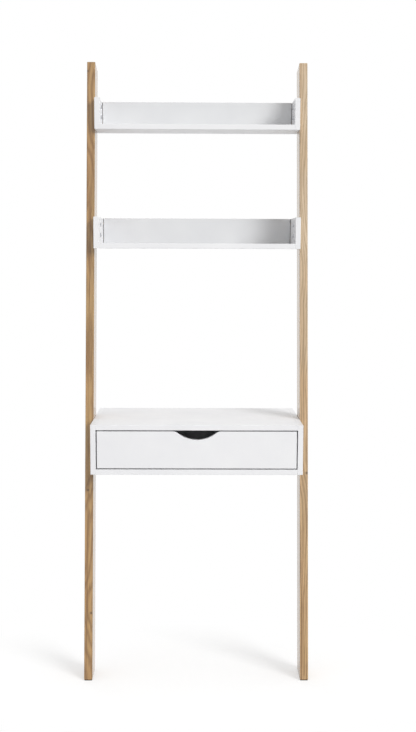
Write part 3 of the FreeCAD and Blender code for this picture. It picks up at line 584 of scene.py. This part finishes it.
dress(foot_pad, "left_foot_pad", "right_foot_pad")

# %% [markdown]
# ## Screws
#
# Small chipboard screws hold the runners, the wall brackets and the drawer back. Each has a low head
# with a cross recess, a thin core and a coarse thread. A plain pin with a bump map would do for the
# thread, but a recess needs real edges to catch the light when the drawer is open. So the core and
# head are turned with a spin, the thread is a spin that climbs as it turns, and the recess is a cross
# that is extruded down and drawn in.

# %% Screw core and head
HEAD_RADIUS = 0.0035
HEAD_RISE = 0.001
RIM_DROP = 0.0006
RIM_ROUND = 0.0003
CROWN_WIDTH = 0.0010
THREAD_RADIUS = 0.00175
CORE_RADIUS = 0.0012
NECK_LENGTH = 0.0015
NECK_END = -HEAD_RISE - NECK_LENGTH
NECK_FLARE = 0.0005
POINT_LENGTH = 0.0025
TURN = 2 * math.pi
TURN_STEPS = 24


def turn_core_and_head(shape, length):
    """The core and the head round the Z axis, open at the middle of the head's top."""
    profile = [(0, -length), (CORE_RADIUS, POINT_LENGTH - length), (CORE_RADIUS, NECK_END),
               (THREAD_RADIUS, NECK_END + NECK_FLARE), (THREAD_RADIUS, -HEAD_RISE),
               (HEAD_RADIUS, -HEAD_RISE), (HEAD_RADIUS, -RIM_DROP),
               (HEAD_RADIUS - RIM_ROUND, -RIM_ROUND), (HEAD_RADIUS - CROWN_WIDTH, 0)]
    chain = [shape.verts.new((radius, 0, height)) for radius, height in profile]
    links = [shape.edges.new(pair) for pair in zip(chain, chain[1:])]
    bmesh.ops.spin(shape, geom=chain + links, cent=(0, 0, 0), axis=(0, 0, 1), angle=TURN, steps=TURN_STEPS,
                   use_merge=True)
    bmesh.ops.remove_doubles(shape, verts=shape.verts[:], dist=WELD)


print("head width in mm:", HEAD_RADIUS * 2000)

# %% Screw recess
RECESS_REACH = 0.0017
RECESS_HALF_WIDTH = 0.00042
RECESS_DEPTH = 0.0012
RECESS_TAPER = 0.6


def open_edges(shape):
    """The edges that have a face on one side only."""
    return [edge for edge in shape.edges if edge.is_boundary]


def loop_of(shape, places):
    """A closed loop of edges through some places."""
    points = [shape.verts.new(place) for place in places]
    return [shape.edges.new(pair) for pair in zip(points, points[1:] + points[:1])]


def recess_cross(reach, half_width):
    """The twelve corners of a cross, arm by arm."""
    places = ((reach, -half_width, 0), (reach, half_width, 0), (half_width, half_width, 0))
    arm = [Vector(place) for place in places]
    return [Matrix.Rotation(quarter * TURN / 4, 3, "Z") @ corner for quarter in range(4) for corner in arm]


def sink_recess(shape):
    """A cross in the open top of the head, sunk and drawn in towards its floor."""
    rim = open_edges(shape)
    mouth = loop_of(shape, recess_cross(RECESS_REACH, RECESS_HALF_WIDTH))
    bmesh.ops.triangle_fill(shape, edges=rim + mouth, use_beauty=True)
    foot = points_of(bmesh.ops.extrude_edge_only(shape, edges=mouth)["geom"])
    bmesh.ops.scale(shape, vec=(RECESS_TAPER, RECESS_TAPER, 1), verts=foot)
    bmesh.ops.translate(shape, vec=(0, 0, -RECESS_DEPTH), verts=foot)
    bmesh.ops.edgeloop_fill(shape, edges=open_edges(shape))


print("recess depth in mm:", RECESS_DEPTH * 1000)

# %% Screw thread
THREAD_PITCH = 0.0014
THREAD_START = 0.0018
THREAD_ROOT = CORE_RADIUS * 0.9  # a little inside the core
THREAD_STEPS = 12
RIDGE = 0.5  # the part of a pitch that the ridge takes up


def wind_thread(shape, length):
    """A ridge that climbs from near the point to the neck as it turns."""
    start = THREAD_START - length
    section = ((THREAD_ROOT, 0), (THREAD_RADIUS, RIDGE / 2), (THREAD_ROOT, RIDGE))
    ridge = [shape.verts.new((radius, 0, start + height * THREAD_PITCH)) for radius, height in section]
    side = shape.faces.new(ridge)
    turns = (NECK_END - start) / THREAD_PITCH - RIDGE
    steps = round(turns * THREAD_STEPS)
    bmesh.ops.spin(shape, geom=ridge + side.edges[:] + [side], cent=(0, 0, 0), axis=(0, 0, 1),
                   angle=turns * TURN, steps=steps, dvec=(0, 0, turns * THREAD_PITCH / steps))
    bmesh.ops.holes_fill(shape, edges=open_edges(shape))


def chipboard_screw(length):
    """A screw that points down the Z axis, with the middle of its head's top at the origin."""
    shape = bmesh.new()
    turn_core_and_head(shape, length)
    sink_recess(shape)
    wind_thread(shape, length)
    settle_faces(shape)
    return shape


print("thread pitch in mm:", THREAD_PITCH * 1000)

# %% [markdown]
# ## Screws in their holes
#
# Each set of screws stands for one node of the frame, with its heads where the holes are. Every screw
# could be a piece of its own, but a set that is one piece moves with its body as the node does. A
# driver leaves each recess at its own angle, so every copy is turned a little further than the one
# before.

# %% Screw sets
DRIVER_TURN = 0.7
SHARP_EDGE = math.radians(35)


def fit_screws(node, body, length, heads):
    """One piece with a screw at every (place, way) of heads, in place of a node. A head faces its way."""
    whole = bpy.data.meshes.new(node + "_threaded")
    together = bmesh.new()
    for count, (place, way) in enumerate(heads):
        screw = chipboard_screw(length)
        facing = Vector(way).to_track_quat("Z", "Y").to_matrix().to_4x4()
        put = Matrix.Translation(place) @ facing @ Matrix.Rotation(DRIVER_TURN * count, 4, "Z")
        bmesh.ops.transform(screw, matrix=put, verts=screw.verts[:])
        screw.to_mesh(whole)
        screw.free()
        together.from_mesh(whole)
    for face in together.faces:
        face.smooth = True
    together.to_mesh(whole)
    together.free()
    whole.set_sharp_from_angle(angle=SHARP_EDGE)
    whole.materials.append(zinc_plate)
    piece = bpy.data.objects.new(node + "_threaded", whole)
    scene.collection.objects.link(piece)
    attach(piece, body)
    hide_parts(node)
    print(piece.name, len(heads), "screws,", len(whole.polygons), "faces")


# %% Screw places
SHORT_SCREW, LONG_SCREW = 0.013, 0.035
RUNNER_STEP = 0.094869
BRACKET_STEP = 0.009
RUNNER_STEPS = (-RUNNER_STEP, 0, RUNNER_STEP)
BRACKET_STEPS = (-BRACKET_STEP, BRACKET_STEP)

_, middle, high = corners("channel_screws")
fit_screws("channel_screws", "frame", SHORT_SCREW,
           [((side * (high.x - SHORT_SCREW), middle.y + step, middle.z), (-side, 0, 0))
            for side in SIDES for step in RUNNER_STEPS])
low, middle, high = corners("drawer_runner_screws")
fit_screws("drawer_runner_screws", "drawer", SHORT_SCREW,
           [((side * (high.x - HEAD_RADIUS), middle.y + step, low.z), (0, 0, -1))
            for side in SIDES for step in RUNNER_STEPS])
low, middle, high = corners("wall_bracket_screws")
fit_screws("wall_bracket_screws", "frame", SHORT_SCREW,
           [((side * (high.x - HEAD_RADIUS), middle.y + step, low.z), (0, 0, -1))
            for side in SIDES for step in BRACKET_STEPS])
low, middle, high = corners("drawer_back_screws")
fit_screws("drawer_back_screws", "drawer", LONG_SCREW,
           [((side * high.x, middle.y, z), (side, 0, 0))
            for side in SIDES for z in (low.z + HEAD_RADIUS, high.z - HEAD_RADIUS)])

# %% [markdown]
# ## The floor
#
# The desk stands on a white floor. The floor keeps the shadow of the feet, and it glows only for the
# camera and for mirrors, so the picture's ground is white and no more light falls on the desk. A
# studio floor curves up into its backdrop. A bent sheet could do that here, but it would stand in the
# way of the other views. So a flat disc turns into plain white a little way from the feet, and the
# shadow fades out there too.

# %% Floor finish
SEEN_TONE, BOUNCED_TONE = 0.75, 0.60
FLOOR_GLOW = 0.32
FLOOR_ROUGHNESS = 0.9
FADE_CENTRE_Y = -0.12
FADE_SQUEEZE = 0.5  # the fade is twice as wide as it is deep
FADE_START, FADE_END = 0.20, 0.48
FADE_LEAST = 0.25


def camera_switch(tree):
    """1 where the camera or a reflection looks, 0 where light bounces."""
    path = add(tree, "LightPath", {}).outputs
    seen = arithmetic(tree, "MAXIMUM", path["Is Camera Ray"], path["Is Glossy Ray"])
    return arithmetic(tree, "MAXIMUM", seen, path["Is Transmission Ray"])


def fading_floor(name):
    """A matt floor that turns into plain white away from the feet, for the camera."""
    material, tree, shader, place = new_finish(name)
    shader.inputs["Roughness"].default_value = FLOOR_ROUGHNESS
    shader.inputs["Specular IOR Level"].default_value = 0.0
    shader.inputs["Emission Color"].default_value = WHITE
    to_camera = camera_switch(tree)
    tree.links.new(between(tree, to_camera, BOUNCED_TONE, SEEN_TONE), shader.inputs["Base Color"])
    tree.links.new(between(tree, to_camera, 0.0, FLOOR_GLOW), shader.inputs["Emission Strength"])
    from_feet = add(tree, "Mapping", {"Vector": place, "Location": (0.0, -FADE_CENTRE_Y, 0.0),
                                      "Scale": (FADE_SQUEEZE, 1.0, 1.0)}).outputs["Vector"]
    away = add(tree, "VectorMath", {0: from_feet}, operation="LENGTH").outputs["Value"]
    fade = between(tree, away, FADE_LEAST, 1.0, FADE_START, FADE_END)
    faded = arithmetic(tree, "MULTIPLY", to_camera, fade)
    backdrop = add(tree, "Emission", {"Color": WHITE, "Strength": 1.0}).outputs["Emission"]
    ground = add(tree, "MixShader", {0: faded, 1: shader.outputs["BSDF"], 2: backdrop}).outputs["Shader"]
    tree.links.new(ground, tree.nodes["Material Output"].inputs["Surface"])
    return material


print("floor fades from", FADE_START, "to", FADE_END, "metres")

# %% Floor
FLOOR_RADIUS = 14.0
FLOOR_SEGMENTS = 64

disc = bmesh.new()
bmesh.ops.create_circle(disc, cap_ends=True, segments=FLOOR_SEGMENTS, radius=FLOOR_RADIUS)
floor_mesh = bpy.data.meshes.new("studio_floor")
disc.to_mesh(floor_mesh)
disc.free()
floor_mesh.materials.append(fading_floor("studio_floor"))
floor = bpy.data.objects.new("studio_floor", floor_mesh)
scene.collection.objects.link(floor)
floor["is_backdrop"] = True
print("floor radius in metres:", FLOOR_RADIUS)

# %% [markdown]
# ## Light
#
# The shadows beside the trays and behind the feet fall to the left, so the main lamp hangs in front,
# to the right and above. Its spread of 26 degrees gives the soft edge of those shadows. A very broad
# wash from above lights the desk top, so that the right rail's shadow on it stays faint. A lamp from
# behind lights the rear of the desk. A faint glow from beside the lens reaches through the scoop, so
# the drawer's inside is dark but not black. An even sky fills what is left. Area lamps could do the
# same, but the light of a far lamp doesn't fall off over the desk.

# %% Sky
SKY = 0.42

world = bpy.data.worlds.new("studio")
scene.world = world
world.use_nodes = True
tree = world.node_tree
sky = tree.nodes["Background"]
sky.inputs["Color"].default_value = WHITE
tree.links.new(between(tree, camera_switch(tree), SKY, 1.0), sky.inputs["Strength"])
print("sky:", SKY)


# %% Lamps
def soft_lamp(name, energy, spread, towards):
    """A far lamp as broad as a softbox, its spread in degrees. Mirrors don't see it."""
    light = bpy.data.lights.new(name, "SUN")
    light.energy = energy
    light.angle = math.radians(spread)
    lamp = bpy.data.objects.new(name, light)
    scene.collection.objects.link(lamp)
    lamp.matrix_world = Vector(towards).to_track_quat("-Z", "Y").to_matrix().to_4x4()
    lamp.visible_glossy = False
    print(name, energy)


soft_lamp("key_from_the_right", energy=1.92, spread=26, towards=(-2.0, 2.4, -1.55))
soft_lamp("wash_from_above", energy=0.65, spread=90, towards=(0, 0.3, -2.0))
soft_lamp("fill_from_behind", energy=0.7, spread=60, towards=(0.4, -2.4, -0.7))
soft_lamp("glow_beside_the_lens", energy=0.07, spread=8, towards=(0.02, 3.5, -0.53))

# %% [markdown]
# ## Size
#
# A finish adds no thickness, and the screws and the lips of the upstands stay inside the desk. So the
# dressed desk has to be as large as the frame.

# %% Size
seen_low, seen_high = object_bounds()
pairs = zip([*cad_low, *cad_high], [*seen_low, *seen_high])
print("box kept:", all(abs(before - after) < WELD for before, after in pairs))
